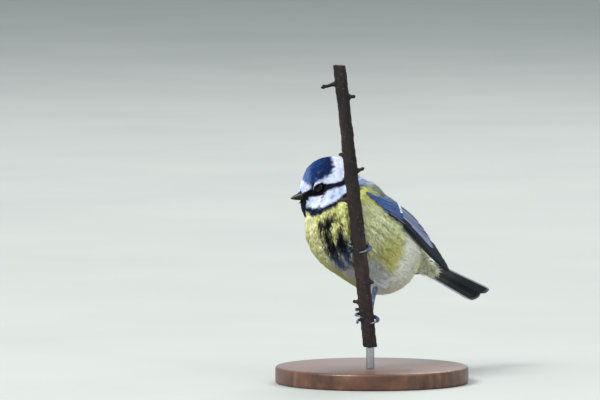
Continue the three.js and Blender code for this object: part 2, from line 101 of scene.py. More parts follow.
# shader maths
class Wire:
    def __init__(self, paint, socket):
        self.paint = paint
        self.socket = socket

    def maths(self, operation, first, second):
        node = self.paint.add("ShaderNodeMath", {"operation": operation}, {0: first, 1: second})
        return self.paint.wire(node)

    def __add__(self, other):
        return self.maths("ADD", self, other)

    def __radd__(self, other):
        return self.maths("ADD", other, self)

    def __sub__(self, other):
        return self.maths("SUBTRACT", self, other)

    def __rsub__(self, other):
        return self.maths("SUBTRACT", other, self)

    def __mul__(self, other):
        return self.maths("MULTIPLY", self, other)

    def __rmul__(self, other):
        return self.maths("MULTIPLY", other, self)


class Paint:
    def __init__(self, name, fixed):
        self.material = bpy.data.materials.new(name)
        self.material.use_nodes = True
        self.tree = self.material.node_tree
        self.shader = self.tree.nodes["Principled BSDF"]
        for key, value in fixed.items():
            self.shader.inputs[key].default_value = value

    def add(self, kind, settings=None, sockets=None):
        node = self.tree.nodes.new(kind)
        for key, value in (settings or {}).items():
            if key == "stops":
                ramp = node.color_ramp
                while len(ramp.elements) < len(value):
                    ramp.elements.new(0.5)
                for element, (place, colour) in zip(ramp.elements, value):
                    element.position = place
                    element.color = colour
            else:
                setattr(node, key, value)
        for key, value in (sockets or {}).items():
            if isinstance(value, Wire):
                self.tree.links.new(value.socket, node.inputs[key])
            else:
                node.inputs[key].default_value = value
        return node

    def wire(self, node, output=0):
        return Wire(self, node.outputs[output])

    def place(self):
        return self.wire(self.add("ShaderNodeTexCoord"), "Object")

    def noise(self, vector, scale, detail=3.0, rough=0.55):
        node = self.add("ShaderNodeTexNoise", None,
                        {"Vector": vector, "Scale": scale, "Detail": detail, "Roughness": rough})
        return self.wire(node, "Fac")

    def ramp(self, value, stops):
        node = self.add("ShaderNodeValToRGB", {"stops": stops}, {0: value})
        return self.wire(node, 0)

    def mix(self, factor, a, b):
        node = self.add("ShaderNodeMix", {"data_type": "RGBA"}, {0: factor, 6: a, 7: b})
        return self.wire(node, 2)

    def stretch(self, vector, scale):
        node = self.add("ShaderNodeVectorMath", {"operation": "MULTIPLY"}, {0: vector, 1: scale})
        return self.wire(node, 0)

    def attribute(self, name, output="Fac"):
        return self.wire(self.add("ShaderNodeAttribute", {"attribute_name": name}), output)

    def bump(self, height, strength, distance):
        sockets = {"Height": height, "Strength": strength, "Distance": distance}
        self.feed("Normal", self.wire(self.add("ShaderNodeBump", None, sockets)))

    def feed(self, key, value):
        self.tree.links.new(value.socket, self.shader.inputs[key])


def srgb(r, g, b):
    return tuple(((v / 255 + 0.055) / 1.055) ** 2.4 if v > 10 else v / 255 / 12.92
                 for v in (r, g, b))


def shade(r, g, b):
    return (*srgb(r, g, b), 1.0)


# meshes
def meshFrom(name, points, faces, material, colours, uvs, uvName="vane"):
    mesh = bpy.data.meshes.new(name)
    mesh.from_pydata((np.asarray(points) * mm).tolist(), [], faces)
    mesh.shade_smooth()
    corner = np.zeros(len(mesh.loops), np.int64)
    mesh.loops.foreach_get("vertex_index", corner)
    layer = mesh.uv_layers.new(name=uvName)
    layer.data.foreach_set("uv", np.asarray(uvs, np.float32)[corner].ravel())
    mesh.materials.append(material)
    obj = bpy.data.objects.new(name, mesh)
    colourPoints(obj, colours)
    bpy.context.scene.collection.objects.link(obj)
    return obj


def settle(obj, slot, *replaced):
    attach(obj, "root")
    if replaced:
        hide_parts(*replaced)


def copyJoined(name, *names):
    bpy.ops.object.select_all(action="DESELECT")
    copies = []
    for n in names:
        copy = nodes[n].copy()
        copy.data = nodes[n].data.copy()
        copy.parent = None
        for key in list(copy.keys()):
            del copy[key]
        bpy.context.scene.collection.objects.link(copy)
        copy.select_set(True)
        copies.append(copy)
    bpy.context.view_layer.objects.active = copies[0]
    if len(copies) > 1:
        bpy.ops.object.join()
    copies[0].name = name
    copies[0].data.name = name
    return copies[0]


def modify(obj, kind, **settings):
    bpy.ops.object.select_all(action="DESELECT")
    obj.select_set(True)
    bpy.context.view_layer.objects.active = obj
    modifier = obj.modifiers.new(kind.lower(), kind)
    for key, value in settings.items():
        setattr(modifier, key, value)
    bpy.ops.object.modifier_apply(modifier=modifier.name)


def softened(name, material, voxel, rounds, *names, grow=0.0):
    obj = copyJoined(name, *names)
    modify(obj, "WELD", merge_threshold=0.001 * mm)
    if grow:
        modify(obj, "DISPLACE", strength=grow * mm, mid_level=0.0)
    modify(obj, "REMESH", mode="VOXEL", voxel_size=voxel * mm)
    modify(obj, "SMOOTH", factor=0.5, iterations=rounds)
    obj.data.materials.clear()
    obj.data.materials.append(material)
    obj.data.shade_smooth()
    return obj


def pointsOf(obj):
    out = np.zeros(len(obj.data.vertices) * 3, np.float64)
    obj.data.vertices.foreach_get("co", out)
    return out.reshape(-1, 3) / mm


def normalsOf(obj):
    out = np.zeros(len(obj.data.vertices) * 3, np.float64)
    obj.data.vertices.foreach_get("normal", out)
    return out.reshape(-1, 3)


def movePoints(obj, points):
    obj.data.vertices.foreach_set("co", (points * mm).ravel())
    obj.data.update()


def colourPoints(obj, colours):
    layer = obj.data.attributes.new("plume", "FLOAT_COLOR", "POINT")
    full = np.ones((len(colours), 4), np.float32)
    full[:, :3] = colours
    layer.data.foreach_set("color", full.ravel())


# plumage colours
ink = {
    "cap": srgb(26, 60, 116), "capDark": srgb(12, 30, 76), "capPale": srgb(122, 150, 206),
    "white": srgb(226, 232, 246), "cheek": srgb(204, 220, 250), "black": srgb(8, 9, 14),
    "line": srgb(12, 18, 40), "bib": srgb(18, 26, 56), "nape": srgb(140, 160, 192),
    "napePale": srgb(206, 214, 220), "yellow": srgb(220, 220, 146), "bright": srgb(228, 228, 138),
    "paleBreast": srgb(226, 226, 190), "olive": srgb(196, 192, 104), "flank": srgb(225, 228, 180),
    "greyFlank": srgb(176, 184, 160), "cream": srgb(246, 246, 222), "belly": srgb(206, 209, 212),
    "vent": srgb(238, 238, 226), "stripe": srgb(12, 14, 26), "stripeBlue": srgb(76, 94, 134),
    "mantle": srgb(154, 164, 142), "mantleGrey": srgb(140, 152, 156), "rump": srgb(120, 136, 142),
    "tuft": srgb(234, 234, 204),
}

# waves that break up the edges of the markings: how fine along three ways, overall, and a seed
breakUp = {
    "ragged": ((1, 1, 1), 1.6, 3), "patchy": ((1, 1, 1), 0.45, 5), "streak": ((0.12, 1.4, 1.4), 0.9, 8),
    "flankStreak": ((0.1, 1.7, 1.7), 0.9, 12), "strand": ((0.3, 1.7, 1.2), 1.5, 41),
}

# on breast and belly the feathers fall between the body's line and the plumb line
fall = {"back": 0.7, "down": 0.8}
down = bodyAxes @ np.array([0.0, 0.0, -1.0])
fallWay = unit(np.array([-fall["back"], 0, 0]) + fall["down"] * down)
fallSide = unit(np.cross(fallWay, (0, 0, 1)))
fallAxes = np.array([fallWay, fallSide, np.cross(fallWay, fallSide)])


def waves(p, scale, seed):
    r = np.random.default_rng(seed)
    total = np.zeros(len(p))
    for k in range(5):
        way = unit(r.normal(size=3)) * scale * (1 + 0.6 * k)
        total += np.sin(p @ way + r.uniform(0, 6.28)) / (1 + 0.5 * k)
    return total / 2.2


def grained(name, q):
    stretch, scale, seed = breakUp[name]
    return waves(q * np.array(stretch), scale, seed)


def blend(base, colour, mask):
    return base + (np.asarray(colour) - base) * np.clip(mask, 0, 1)[:, None]


# where points lie on body, neck and head
class Spot:
    def __init__(self, p):
        self.count = len(p)
        self.body = toBody(p)
        self.head = toHead(p)
        self.height = self.body @ neckAxis
        self.turn = np.degrees(np.arctan2(self.body[:, 1], -(self.body @ neckUp)))
        self.ragged = grained("ragged", p)
        self.patchy = grained("patchy", p)
        self.streak = grained("streak", self.body @ fallAxes.T)
        self.flankStreak = grained("flankStreak", self.body)
        self.strand = grained("strand", self.head)
        self.onHead = soft(23, 25, self.height)


# pairs are the two edges of a soft border, in millimetres, in degrees round the neck, or in the
# height of the waves; shares say how strongly a colour lies
trunk = {
    "greyStreaks": (-0.1, 0.7), "creamStreaks": (0.1, 0.9), "streaksEnd": (18, 8), "creamLow": (-16, -8),
    "greyShare": 0.8, "creamShare": 0.6,
    "breast": (11, 18), "breastSlant": 0.55, "breastShare": 0.9,
    "paleSide": (-7.5, -12), "paleShare": 0.75, "front": (4, 12), "underside": (4, -2),
    "shoulder": (13, 17), "shoulderHigh": (-6.5, -1.5), "shoulderFront": (2, 12), "shoulderShare": 0.9,
    "thigh": (-4.5, 3.5), "thighReach": 6.5, "thighPlace": (-8, 11.5), "thighStretch": (0.62, 0.9),
    "thighLow": (-7, -14), "thighShare": 0.75,
    "oliveStreaks": (0.1, 0.9), "oliveFront": (12, 18), "oliveSide": (12, 6), "oliveShare": 0.4,
    "farSide": (-9, -13), "farLow": (-4, -10), "farShare": 0.5,
    "belly": (13, 7), "bellySide": (11, 6), "bellyLow": (-14, -18), "bellyShare": 0.9,
    "vent": (-11, -17), "ventLow": (2, -4), "ventShare": 0.95,
    "stripeAlong": (4, 10, 16, 26), "stripeMiddle": (-5.5, -3.6, -1.5, 1.0),
    "halfAlong": (2, 8, 16, 24, 28), "stripeHalf": (3.2, 5.8, 7.0, 7.4, 6.4),
    "stripeEdge": (1.0, -1.0), "stripeUnder": (2, -2), "stripeTop": (20.0, 17.0),
    "stripeGaps": (-0.7, -0.1),
    "blueTop": (21.5, 18.5), "blueStart": (2, 7), "blueGaps": (-0.9, 0.2), "blueEnd": (24, 14),
    "blackStart": (11.5, 17),
}


def paintTrunk(at):
    a, b, c = at.body.T
    edge = trunk
    base = np.tile(np.asarray(ink["flank"]), (at.count, 1))
    streaks = soft(*edge["streaksEnd"], a)
    grey = soft(*edge["greyStreaks"], at.flankStreak) * streaks
    cream = soft(*edge["creamStreaks"], -at.flankStreak) * streaks * soft(*edge["creamLow"], c)
    base = blend(base, ink["greyFlank"], grey * edge["greyShare"])
    base = blend(base, ink["cream"], cream * edge["creamShare"])
    breast = soft(*edge["breast"], a - edge["breastSlant"] * np.maximum(b - 6, 0) + at.patchy * 1.6)
    base = blend(base, ink["yellow"], breast * edge["breastShare"])
    pale = soft(*edge["paleSide"], b - 0.1 * a + at.streak) * soft(*edge["underside"], c)
    base = blend(base, ink["paleBreast"], pale * soft(*edge["front"], a) * edge["paleShare"])
    shoulder = soft(*edge["shoulder"], b) * soft(*edge["shoulderHigh"], c) * soft(*edge["shoulderFront"], a)
    base = blend(base, ink["bright"], shoulder * edge["shoulderShare"])
    thighGap = np.hypot((a - edge["thighPlace"][0]) * edge["thighStretch"][0],
                        (np.abs(b) - edge["thighPlace"][1]) * edge["thighStretch"][1])
    thigh = soft(*edge["thigh"], edge["thighReach"] - thighGap + at.patchy * 1.2)
    base = blend(base, ink["olive"], thigh * soft(*edge["thighLow"], c) * edge["thighShare"])
    olive = soft(*edge["oliveStreaks"], at.streak) * soft(*edge["oliveFront"], a)
    base = blend(base, ink["olive"], olive * soft(*edge["oliveSide"], b) * edge["oliveShare"])
    far = soft(*edge["farSide"], b) * soft(*edge["farLow"], c)
    base = blend(base, ink["olive"], far * edge["farShare"])
    belly = soft(*edge["belly"], a + at.patchy) * soft(*edge["bellySide"], np.abs(b + 2))
    base = blend(base, ink["belly"], belly * soft(*edge["bellyLow"], c) * edge["bellyShare"])
    vent = soft(*edge["vent"], a - 0.35 * (c + 20) + at.patchy) * soft(*edge["ventLow"], c)
    return blend(base, ink["vent"], vent * edge["ventShare"])


def paintStripe(at, base):
    a, b, c = at.body.T
    edge = trunk
    middle = np.interp(a, edge["stripeAlong"], edge["stripeMiddle"])
    half = np.interp(a, edge["halfAlong"], edge["stripeHalf"])
    stripe = soft(*edge["stripeEdge"], np.abs(b - middle) - half + at.streak * 1.8)
    stripe = stripe * soft(*edge["stripeUnder"], c) * soft(*edge["stripeTop"], at.height + 1.6 * at.streak)
    stripe = stripe * soft(*edge["stripeGaps"], at.streak + 0.25 * soft(24, 12, a))
    blue = stripe * soft(*edge["blueTop"], at.height + 1.2 * at.streak) * soft(*edge["blueStart"], a)
    blue = blue * soft(*edge["blueGaps"], at.streak) * soft(*edge["blueEnd"], a)
    base = blend(base, ink["stripeBlue"], blue)
    return blend(base, ink["stripe"], stripe * soft(*edge["blackStart"], a + 1.4 * at.streak))


back = {
    "edge": (3.2, 5.6), "grey": (0, 0.9), "greyShare": 0.5, "rump": (-16, -26),
    "tuftEdge": (1.5, -0.5), "tuftStart": (-20, -25), "tuftLine": (-31.5, 10.2), "tuftSlope": 0.242,
}


def paintBack(at, base):
    a, _, c = at.body.T
    upper = soft(*back["edge"], c - 0.04 * a + 0.5 * at.ragged)
    base = blend(base, ink["mantle"], upper)
    base = blend(base, ink["mantleGrey"], upper * soft(*back["grey"], at.flankStreak) * back["greyShare"])
    base = blend(base, ink["rump"], upper * soft(*back["rump"], a))
    overTail = c - back["tuftLine"][1] + back["tuftSlope"] * (a - back["tuftLine"][0])
    return blend(base, ink["tuft"], soft(*back["tuftEdge"], overTail) * soft(*back["tuftStart"], a))


collar = {
    "turn": (-180, -90, -50, -42, -17, -2, 7, 14, 29, 98, 180),
    "height": (24, 26.6, 27.1, 25.3, 23.9, 22.7, 21.9, 21.6, 21.2, 21.6, 24),
    "half": 1.35, "edge": (0.35, -0.35), "cheekEdge": (-0.5, 0.5), "cheekWhite": (-0.3, 0.8),
    "napeStart": (70, 100), "napeLow": (-7.5, -3.0), "napeHigh": (1.0, -0.5), "napeEnd": (150, 110),
    "napeShare": 0.7, "blueNape": (62, 84),
}


def paintNeck(at, base):
    over = at.height - np.interp(at.turn, collar["turn"], collar["height"])
    turned = np.abs(at.turn)
    cheek = np.tile(np.asarray(ink["cheek"]), (at.count, 1))
    cheek = blend(cheek, ink["white"], soft(*collar["cheekWhite"], at.patchy))
    base = blend(base, cheek, soft(*collar["cheekEdge"], over))
    nape = soft(*collar["napeLow"], over) * soft(*collar["napeHigh"], over) * collar["napeShare"]
    nape = nape * soft(*collar["napeStart"], turned) * soft(*collar["napeEnd"], turned)
    base = blend(base, ink["napePale"], nape)
    band = soft(*collar["edge"], np.abs(over + 0.3 * at.ragged) - collar["half"])
    base = blend(base, ink["bib"], band)
    return blend(base, ink["nape"], band * soft(*collar["blueNape"], turned))


cap = {
    "axis": unit([0.414, 0.0, 0.91]), "reach": 37.6, "side": 10.0, "edge": (3.4, -3.4), "brow": (2, 6),
    "browShare": 0.75, "darkEdge": (0.3, 0.8), "darkBack": (8.5, 3), "darkShare": 0.9,
    "paleStrands": (0.1, 0.8), "paleFront": (1.0, 9.5), "paleShare": 0.65, "forehead": (6.5, 10.5),
    "foreheadShare": 0.55,
}


def paintCap(at, base):
    x, _, z = at.head.T
    direction = unit(at.head)
    away = np.degrees(np.arccos(np.clip(direction @ cap["axis"], -1, 1)))
    reach = cap["reach"] + cap["side"] * np.minimum(1, np.abs(direction[:, 1]) * 1.6)
    inCap = soft(*cap["edge"], away - reach + 3.4 * at.strand) * at.onHead
    base = blend(base, ink["white"], soft(*cap["brow"], z) * at.onHead * (1 - inCap) * cap["browShare"])
    base = blend(base, ink["cap"], inCap)
    dark = soft(*cap["darkEdge"], away / reach + 0.3 * at.strand) * soft(*cap["darkBack"], x)
    base = blend(base, ink["capDark"], inCap * dark * cap["darkShare"])
    pale = soft(*cap["paleStrands"], at.strand) * soft(*cap["paleFront"], x)
    base = blend(base, ink["capPale"], inCap * pale * cap["paleShare"])
    forehead = soft(*cap["forehead"], x + at.strand)
    return blend(base, ink["capPale"], inCap * forehead * cap["foreheadShare"])


facing = {
    "lineAlong": (-9, -6.5, -5, 0, 3, 5.5, 7.4, 10, 12, 13),
    "lineHeight": (6.2, 5.5, 4.9, 4.7, 4.2, 3.2, 2.3, 1.1, -0.3, -0.8),
    "lineHalf": (1.8, 1.3, 1.0, 1.05, 1.6, 2.2, 2.2, 1.8, 1.5, 1.4),
    "lineEdge": (0.3, -0.3), "lineSide": (3.4, 4.4), "lineBlack": (2, 4.5),
    "chinSide": (6.4, 5.0), "chinTop": (-1.8, -3.2), "chinFront": (8, 10.5), "chinBlack": (-6.5, -5.0),
    "socket": (3.4, 2.8), "socketSide": (4, 5), "napeBack": (-8, -9.5), "napeTop": (9.5, 8),
    "napeLow": (-2, 1), "billBase": (12.6, 0, -2.6), "gapeStretch": (1.3, 1, 1.2), "gape": (6.2, 5.2),
    "gapeTop": (0.9, -0.2), "gapeSide": (2.6, 3.6), "gapeShare": 0.9,
    "loreFront": (10.6, 11.4), "loreTop": (0.4, -0.4), "loreLow": (-3.4, -2.4),
}
eyeSpot = np.abs(toHead(pointsOf(nodes["eye_left"])).mean(0))


def paintFace(at, base):
    x, y, z = at.head.T
    side = np.abs(y)
    chin = soft(*facing["chinSide"], side + 0.5 * at.ragged) * soft(*facing["chinTop"], z)
    chin = chin * soft(*facing["chinFront"], x)
    base = blend(base, ink["bib"], chin * soft(22, 23, at.height))
    base = blend(base, ink["black"], chin * soft(*facing["chinBlack"], z))
    middle = np.interp(x, facing["lineAlong"], facing["lineHeight"])
    half = np.interp(x, facing["lineAlong"], facing["lineHalf"])
    line = soft(*facing["lineEdge"], np.abs(z - middle + 0.12 * at.ragged) - half)
    line = line * soft(*facing["lineSide"], side) * at.onHead
    base = blend(base, ink["line"], line)
    base = blend(base, ink["black"], line * soft(*facing["lineBlack"], x))
    socket = np.hypot(x - eyeSpot[0], z - eyeSpot[2]) * at.onHead + 9 * (1 - at.onHead)
    socket = soft(*facing["socket"], socket + 0.2 * at.ragged) * soft(*facing["socketSide"], side)
    base = blend(base, ink["black"], socket)
    nape = soft(*facing["napeTop"], z) * soft(*facing["napeLow"], z) * at.onHead
    base = blend(base, ink["nape"], nape * soft(*facing["napeBack"], x + 0.3 * at.ragged))
    fromBill = (at.head - np.array(facing["billBase"])) * np.array(facing["gapeStretch"])
    gape = soft(*facing["gape"], np.linalg.norm(fromBill, axis=1)) * facing["gapeShare"]
    gape = gape * soft(*facing["gapeTop"], z + 0.1 * side) * soft(*facing["gapeSide"], side)
    base = blend(base, ink["black"], gape)
    lore = soft(*facing["loreFront"], x) * soft(*facing["loreTop"], z) * soft(*facing["loreLow"], z)
    return blend(base, ink["black"], lore * at.onHead)


def plumage(p):
    at = Spot(p)
    base = paintTrunk(at)
    for paint in (paintStripe, paintBack, paintNeck, paintCap, paintFace):
        base = paint(at, base)
    return np.clip(base, 0.002, 1)


plume = Paint("plumage", {"Roughness": 0.72, "Specular IOR Level": 0.14})
plumeColour = plume.attribute("plume", "Color")
plume.feed("Base Color", plumeColour)
barbNoise = plume.noise(plume.place(), 2600.0, 2.0)
plume.feed("Roughness", 0.62 + barbNoise * 0.2)

# skin: one closed surface through the flesh, under the coat
skinShape = {
    "grow": 0.26, "voxel": 0.5, "rounds": 10, "depth": 1.25, "headDepth": 0.7, "faceDepth": 0.4,
    "face": (11.5, 0, -1.5), "faceReach": (9, 3), "headStarts": (21, 26), "shade": 0.8,
}
skin = softened("skin", plume.material, skinShape["voxel"], skinShape["rounds"],
                "head", "neck", "torso", "thigh_right", grow=skinShape["grow"])


def onFace(head):
    return soft(*skinShape["faceReach"], np.linalg.norm(head - np.array(skinShape["face"]), axis=1))


def depthAt(p):
    inHead = soft(*skinShape["headStarts"], toBody(p) @ neckAxis)
    towardsHead = (skinShape["headDepth"] - skinShape["depth"]) * inHead
    towardsFace = (skinShape["faceDepth"] - skinShape["headDepth"]) * onFace(toHead(p)) * inHead
    return skinShape["depth"] + towardsHead + towardsFace


skinPoints = pointsOf(skin)
skinNormals = normalsOf(skin)
skinPoints = skinPoints - skinNormals * (depthAt(skinPoints) + skinShape["grow"])[:, None]
movePoints(skin, skinPoints)
# the skin carries the plumage colours darkened by the shade factor: painted shade where it shows between
# the feathers
colourPoints(skin, plumage(skinPoints) * skinShape["shade"])
settle(skin, "plumage_yellow", "head", "neck", "torso", "thigh_right")
print("skin", len(skinPoints))

# coat: small feathers of fine barbs, rooted all over the skin
coat = {
    "candidates": 90000, "spacing": 1.12, "headSpacing": 0.74, "faceSpacing": 0.5, "headStarts": (22, 26),
    "length": 6.4, "headLength": 3.1, "faceLength": 1.3, "lengthVaries": (0.85, 1.15),
    "barbs": 17, "width": 0.13, "fan": 0.4, "fanVaries": 0.07, "barbVaries": (0.82, 1.1),
    "rootSpread": 0.09, "lift": (0.75, 1.2), "droop": 62, "sway": 0.13,
    "eyeRing": 3.0, "eyeTips": 2.8, "billRing": 2.5, "billBase": (12.5, 0, -2.65),
    "stemGap": 4.3, "stemTips": 3.9, "featherTone": (0.93, 1.05), "barbTone": (0.93, 1.06),
    # rootShade paints each barb's root ring darker, as painted shade between the feathers together with
    # their own grey bases; midShade and tipShade paint the middle and tip lighter, as painted light to make
    # up for the coat's own shadow
    "rootShade": 0.9, "midShade": 1.04, "tipShade": 1.12,
    "headLine": 23.4, "collarLine": 15, "bellyLine": -9,
}
stem = {"foot": (-0.9, -14.0, 18.2), "top": (-15.6, -14.0, 152.0)}
stemFoot = np.array(stem["foot"])
stemWay = unit(np.array(stem["top"]) - stemFoot)
eyes = np.array([pointsOf(nodes[n]).mean(0) for n in ("eye_left", "eye_right")])


def fromStem(p):
    d = p - stemFoot
    return np.linalg.norm(d - (d @ stemWay)[:, None] * stemWay, axis=1)


def fromEyes(p):
    return np.minimum(*(np.linalg.norm(p - eye, axis=1) for eye in eyes))


# keeps each point that has no kept neighbour within its radius
def thin(points, radii, cell=1.2):
    grid = {}
    keep = []
    keys = np.floor(points / cell).astype(int)
    around = [(i, j, k) for i in (-1, 0, 1) for j in (-1, 0, 1) for k in (-1, 0, 1)]
    for i, (kx, ky, kz) in enumerate(keys.tolist()):
        near = [j for dx, dy, dz in around for j in grid.get((kx + dx, ky + dy, kz + dz), ())]
        gaps = points[near] - points[i]
        if not near or (gaps * gaps).sum(1).min() >= radii[i] * radii[i]:
            grid.setdefault((kx, ky, kz), []).append(i)
            keep.append(i)
    return np.array(keep)


# roots, spread evenly by area and then thinned
skin.data.calc_loop_triangles()
triangles = np.zeros(len(skin.data.loop_triangles) * 3, np.int64)
skin.data.loop_triangles.foreach_get("vertices", triangles)
triangles = triangles.reshape(-1, 3)
corners = skinPoints[triangles]
cross = np.cross(corners[:, 1] - corners[:, 0], corners[:, 2] - corners[:, 0])
area = np.linalg.norm(cross, axis=1)
chosen = rng.choice(len(triangles), coat["candidates"], p=area / area.sum())
weights = rng.dirichlet((1, 1, 1), coat["candidates"])
roots = (corners[chosen] * weights[:, :, None]).sum(1)
normals = unit((skinNormals[triangles[chosen]] * weights[:, :, None]).sum(1))
headRoots = toHead(roots)
inHead = soft(*coat["headStarts"], toBody(roots) @ neckAxis)
face = onFace(headRoots) * inHead
spacing = coat["spacing"] + (coat["headSpacing"] - coat["spacing"]) * inHead
spacing = spacing + (coat["faceSpacing"] - coat["headSpacing"]) * face
fromBill = np.linalg.norm((headRoots - np.array(coat["billBase"])) * np.array([0.6, 1, 1]), axis=1)
clear = (fromEyes(roots) > coat["eyeRing"]) & (fromBill > coat["billRing"])
clear &= fromStem(roots) > coat["stemGap"]
index = np.where(clear)[0]
index = index[thin(roots[index], spacing[index])]
roots, normals, headRoots, inHead, face = (v[index] for v in (roots, normals, headRoots, inHead, face))
bodyRoots = toBody(roots)
height = bodyRoots @ neckAxis
nearEye = soft(6.0, 3.6, fromEyes(roots))
outOfHead = unit(headRoots * np.array([0.4, 1, 0.8])) @ headAxes
normals = unit(normals * (1 - nearEye)[:, None] + outOfHead * nearEye[:, None])
print("feathers", len(roots))

# lie of the feathers: backwards on the body, falling on the belly, away from the bill on the head
behind = np.array([-1.0, 0, 0])
lieBody = np.tile(behind, (len(roots), 1))
lieBody[:, 2] += soft(-12, -30, bodyRoots[:, 0]) * 0.3
lieBody[:, 1] -= np.sign(bodyRoots[:, 1]) * soft(-10, -34, bodyRoots[:, 0]) * 0.25
falling = (soft(-8, 8, bodyRoots[:, 0]) * soft(2, -4, bodyRoots[:, 2]))[:, None]
lieBody = lieBody * (1 - falling) + fallWay * falling
lieBody = lieBody - (1 - falling) * soft(12, 24, height)[:, None] * (neckAxis + behind) * 0.9
lieHead = unit(headRoots - np.array([13.5, 0, -1.5])) @ headAxes
lie = unit(unit(lieBody @ bodyAxes) * (1 - inHead)[:, None] + lieHead * inHead[:, None])
lie = unit(lie - normals * (lie * normals).sum(1, keepdims=True))
across = np.cross(normals, lie)
sway = rng.normal(0, coat["sway"], len(roots)) * (1 - 0.5 * inHead) + 0.1 * waves(roots, 0.35, 21)
lie = unit(lie + across * sway[:, None])
across = np.cross(normals, lie)
lengths = coat["length"] + (coat["headLength"] - coat["length"]) * inHead
lengths += (coat["faceLength"] - coat["headLength"]) * face
lengths *= 1 - 0.25 * soft(-22, -32, bodyRoots[:, 0]) + 0.12 * soft(-12, -18, bodyRoots[:, 2])
lengths *= rng.uniform(*coat["lengthVaries"], len(roots)) * (1 - 0.35 * nearEye)


# one unwrap of the skin's own shape: body in the lower part of the map, head above it
def skinUv(p):
    body = toBody(p)
    top = body @ neckAxis > 22.7
    q = unit(np.where(top[:, None], toHead(p), body * np.array([0.7, 1, 1])))
    u = (np.arctan2(q[:, 1], q[:, 2]) / (2 * math.pi) + 0.5) * 0.98 + 0.01
    v = np.arccos(np.clip(q[:, 0], -1, 1)) / math.pi
    return np.stack([u, np.where(top, 0.66 + v * 0.32, 0.02 + v * 0.6)], 1)


def makeCoat(name, pick, slot):
    jitter = np.random.default_rng(len(name) + len(pick))
    owner = np.repeat(pick, coat["barbs"])
    total = len(owner)
    fan = np.tile(np.linspace(-1, 1, coat["barbs"]), len(pick)) + jitter.normal(0, 0.12, total)
    size = lengths[owner] * (1 - 0.22 * fan ** 2) * jitter.uniform(*coat["barbVaries"], total)
    nrm = normals[owner]
    spread = fan * coat["fan"] + jitter.normal(0, coat["fanVaries"], total)
    way = unit(lie[owner] + across[owner] * spread[:, None])
    side = np.cross(nrm, way)
    start = roots[owner] + across[owner] * (fan * coat["rootSpread"] * size)[:, None]
    start = start + lie[owner] * (jitter.uniform(0, 0.25, total) * size)[:, None]
    lift = (depthAt(start) * jitter.uniform(*coat["lift"], total))[:, None]
    mid = start + way * (size * 0.5)[:, None] + nrm * lift * 0.95
    end = start + way * size[:, None] + nrm * lift * 0.8 - nrm * (size ** 2 / coat["droop"])[:, None]
    keep = (fromStem(end) > coat["stemTips"]) & (fromStem(mid) > coat["stemTips"])
    keep &= (fromEyes(end) > coat["eyeTips"]) & (fromEyes(mid) > coat["eyeTips"])
    start, mid, end, nrm, side, size, owner = (v[keep] for v in (start, mid, end, nrm, side, size, owner))
    # each barb is a three-sided spike: a ring at the root, a ring halfway and a tip
    count = len(start)
    width = coat["width"] * (0.55 + 0.45 * size / coat["length"])
    points = np.zeros((count, 7, 3))
    for k in range(3):
        turn = 2 * math.pi * k / 3
        off = side * (math.cos(turn) * width)[:, None] + nrm * (math.sin(turn) * width * 0.6)[:, None]
        points[:, k] = start - nrm * 0.25 + off * 0.8
        points[:, 3 + k] = mid + off
    points[:, 6] = end
    featherTone = jitter.uniform(*coat["featherTone"], int(owner.max()) + 1)[owner]
    tone = (featherTone * jitter.uniform(*coat["barbTone"], count))[:, None]
    colour = plumage(end * 0.75 + mid * 0.25) * tone
    # painted shade on each barb's root ring, painted light on its middle and tip
    shades = np.zeros((count, 7, 3))
    shades[:, :3] = (colour * coat["rootShade"])[:, None]
    shades[:, 3:6] = np.clip(colour * coat["midShade"], 0, 1)[:, None]
    shades[:, 6] = np.clip(colour * coat["tipShade"], 0, 1)
    at = skinUv(roots[owner])
    uv = np.zeros((count, 7, 2))
    for k in range(7):
        uv[:, k] = at + np.array([(k % 3) * 0.001 if k < 6 else 0.001, 0.0012 * (k // 3)])
    first = (np.arange(count) * 7)[:, None, None]
    quads = np.array([[0, 1, 4, 3], [1, 2, 5, 4], [2, 0, 3, 5]])
    tips = np.array([[3, 4, 6], [4, 5, 6], [5, 3, 6]])
    faces = (first + quads).reshape(-1, 4).tolist() + (first + tips).reshape(-1, 3).tolist()
    obj = meshFrom(name, points.reshape(-1, 3), faces, plume.material, shades.reshape(-1, 3),
                   uv.reshape(-1, 2), "OFBake")
    settle(obj, slot)
    print(name, count * 9)


isHead = height > coat["headLine"]
onTrunk = ~isHead & (height <= coat["collarLine"])
isBelly = bodyRoots[:, 2] < coat["bellyLine"]
zones = {
    "coat_head_left": isHead & (headRoots[:, 1] >= 0),
    "coat_head_right": isHead & (headRoots[:, 1] < 0),
    "coat_collar": ~isHead & (height > coat["collarLine"]),
    "coat_belly": onTrunk & isBelly,
    "coat_flank_left": onTrunk & ~isBelly & (bodyRoots[:, 1] >= 0),
    "coat_flank_right": onTrunk & ~isBelly & (bodyRoots[:, 1] < 0),
}
for name, zone in zones.items():
    makeCoat(name, np.where(zone)[0], "plumage_white" if "head" in name else "plumage_yellow")
print("coat done")

# feather vanes of wings and tail, as closed thin blades
class Curve:
    def __init__(self, through):
        p = np.array(through, float)
        p = np.vstack([2 * p[0] - p[1], p, 2 * p[-1] - p[-2]])
        out = []
        for i in range(1, len(p) - 2):
            for t in np.linspace(0, 1, 40, endpoint=i == len(p) - 3):
                out.append(0.5 * (2 * p[i] + (p[i + 1] - p[i - 1]) * t
                                  + (2 * p[i - 1] - 5 * p[i] + 4 * p[i + 1] - p[i + 2]) * t ** 2
                                  + (3 * p[i] - p[i - 1] - 3 * p[i + 1] + p[i + 2]) * t ** 3))
        self.points = np.array(out)
        steps = np.linalg.norm(np.diff(self.points, axis=0), axis=1)
        self.along = np.concatenate([[0], np.cumsum(steps)]) / steps.sum()

    def at(self, share):
        return np.stack([np.interp(share, self.along, self.points[:, k]) for k in range(3)], -1)

    def tangent(self, share):
        return unit(self.at(np.clip(share + 0.01, 0, 1)) - self.at(np.clip(share - 0.01, 0, 1)))


